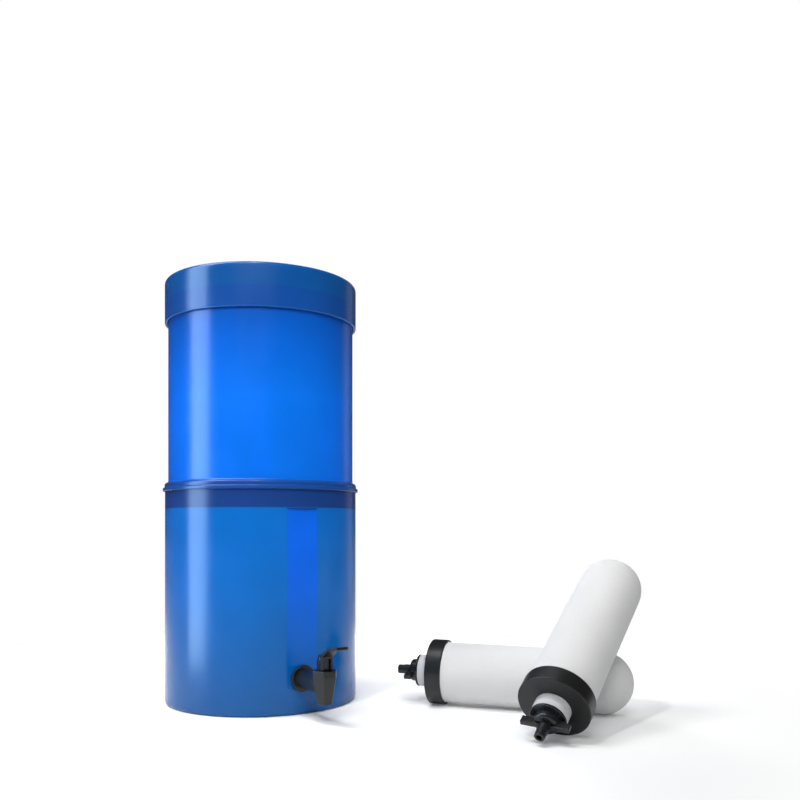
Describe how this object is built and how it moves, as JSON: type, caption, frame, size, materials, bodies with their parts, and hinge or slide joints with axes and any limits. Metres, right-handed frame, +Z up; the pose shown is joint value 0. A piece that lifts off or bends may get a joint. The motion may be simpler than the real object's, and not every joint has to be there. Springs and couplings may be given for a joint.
{
  "type": "gravity water filter",
  "caption": "Two nested round blue cups with a lid, white filter elements and a black lever tap near the base.",
  "frame": {"origin": "on the floor, at the centre of the lower chamber's flat base", "axes": "+Z up along the housing's axis, the tap points to -Y, the loose pair stands towards +X and -Y"},
  "size_m": [0.4463, 0.4842, 0.4847],
  "materials": {
    "blue_housing": "semi-gloss translucent blue moulded plastic",
    "black_plastic": "satin black moulded plastic",
    "white_ceramic": "matte white porous ceramic",
    "white_silicone": "white silicone rubber",
    "seal_rubber": "black rubber",
    "carbon": "pressed carbon block",
    "steel": "plain steel pin"
  },
  "bodies": {
    "base": {"lower_chamber": "blue_housing", "tap_outer_washer": "seal_rubber", "tap_inner_washer": "seal_rubber", "tap_shank_nut": "black_plastic", "tap_body": "black_plastic", "tap_bonnet": "black_plastic", "tap_bonnet_seal": "seal_rubber"},
    "tap_stem": {"tap_stem": "black_plastic", "tap_seat_cup": "seal_rubber"},
    "tap_lever": {"tap_lever": "black_plastic", "tap_pin": "steel"},
    "upper": {"upper_chamber": "blue_housing", "fitted_left_ceramic": "white_ceramic", "fitted_left_core": "carbon", "fitted_left_cap": "black_plastic", "fitted_left_top_gasket": "white_silicone", "fitted_left_under_gasket": "white_silicone", "fitted_right_ceramic": "white_ceramic", "fitted_right_core": "carbon", "fitted_right_cap": "black_plastic", "fitted_right_top_gasket": "white_silicone", "fitted_right_under_gasket": "white_silicone"},
    "lid": {"lid": "blue_housing"},
    "fitted_left_nut": {"fitted_left_wing_nut": "black_plastic"},
    "fitted_right_nut": {"fitted_right_wing_nut": "black_plastic"},
    "lying": {"lying_ceramic": "white_ceramic", "lying_core": "carbon", "lying_cap": "black_plastic", "lying_top_gasket": "white_silicone", "lying_under_gasket": "white_silicone"},
    "lying_nut": {"lying_wing_nut": "black_plastic"},
    "leaning": {"leaning_ceramic": "white_ceramic", "leaning_core": "carbon", "leaning_cap": "black_plastic", "leaning_top_gasket": "white_silicone", "leaning_under_gasket": "white_silicone"},
    "leaning_nut": {"leaning_wing_nut": "black_plastic"}
  },
  "joints": [
    {"name": "upper_lift", "type": "slide", "parent": "base", "child": "upper", "axis": [0, 0, 1], "range_m": [0, 0.12]},
    {"name": "lid_lift", "type": "slide", "parent": "upper", "child": "lid", "axis": [0, 0, 1], "range_m": [0, 0.08]},
    {"name": "tap_stem_lift", "type": "slide", "parent": "base", "child": "tap_stem", "axis": [0, 0, 1], "range_m": [0, 0.00125]},
    {"name": "tap_lever_press", "type": "hinge", "parent": "tap_stem", "child": "tap_lever", "pos_m": [0, -0.16271, 0.0676], "axis": [1, 0, 0], "range_deg": [0, 18], "stiffness_Nm_per_rad": 0.25, "springref_deg": -14.32},
    {"name": "fitted_left_nut_turn", "type": "hinge", "parent": "upper", "child": "fitted_left_nut", "pos_m": [-0.048, 0, 0.21], "axis": [0, 0, -1], "range_deg": [0, 180]},
    {"name": "fitted_right_nut_turn", "type": "hinge", "parent": "upper", "child": "fitted_right_nut", "pos_m": [0.048, 0, 0.21], "axis": [0, 0, -1], "range_deg": [0, 180]},
    {"name": "lying_lift", "type": "slide", "parent": "base", "child": "lying", "axis": [0, 0, 1], "range_m": [0, 0.1]},
    {"name": "leaning_lift", "type": "slide", "parent": "lying", "child": "leaning", "axis": [0, 0, 1], "range_m": [0, 0.1]},
    {"name": "lying_nut_turn", "type": "hinge", "parent": "lying", "child": "lying_nut", "pos_m": [0.1422, -0.11676, 0.03705], "axis": [-0.6333, 0.7738, 0.0145], "range_deg": [0, 180]},
    {"name": "leaning_nut_turn", "type": "hinge", "parent": "leaning", "child": "leaning_nut", "pos_m": [0.13907, -0.34463, 0.02016], "axis": [-0.7616, -0.3666, -0.5344], "range_deg": [0, 25]}
  ],
  "couplings": [
    {"joint": "tap_stem_lift", "follows": "tap_lever_press", "m_per_rad": 0.0038197}
  ]
}
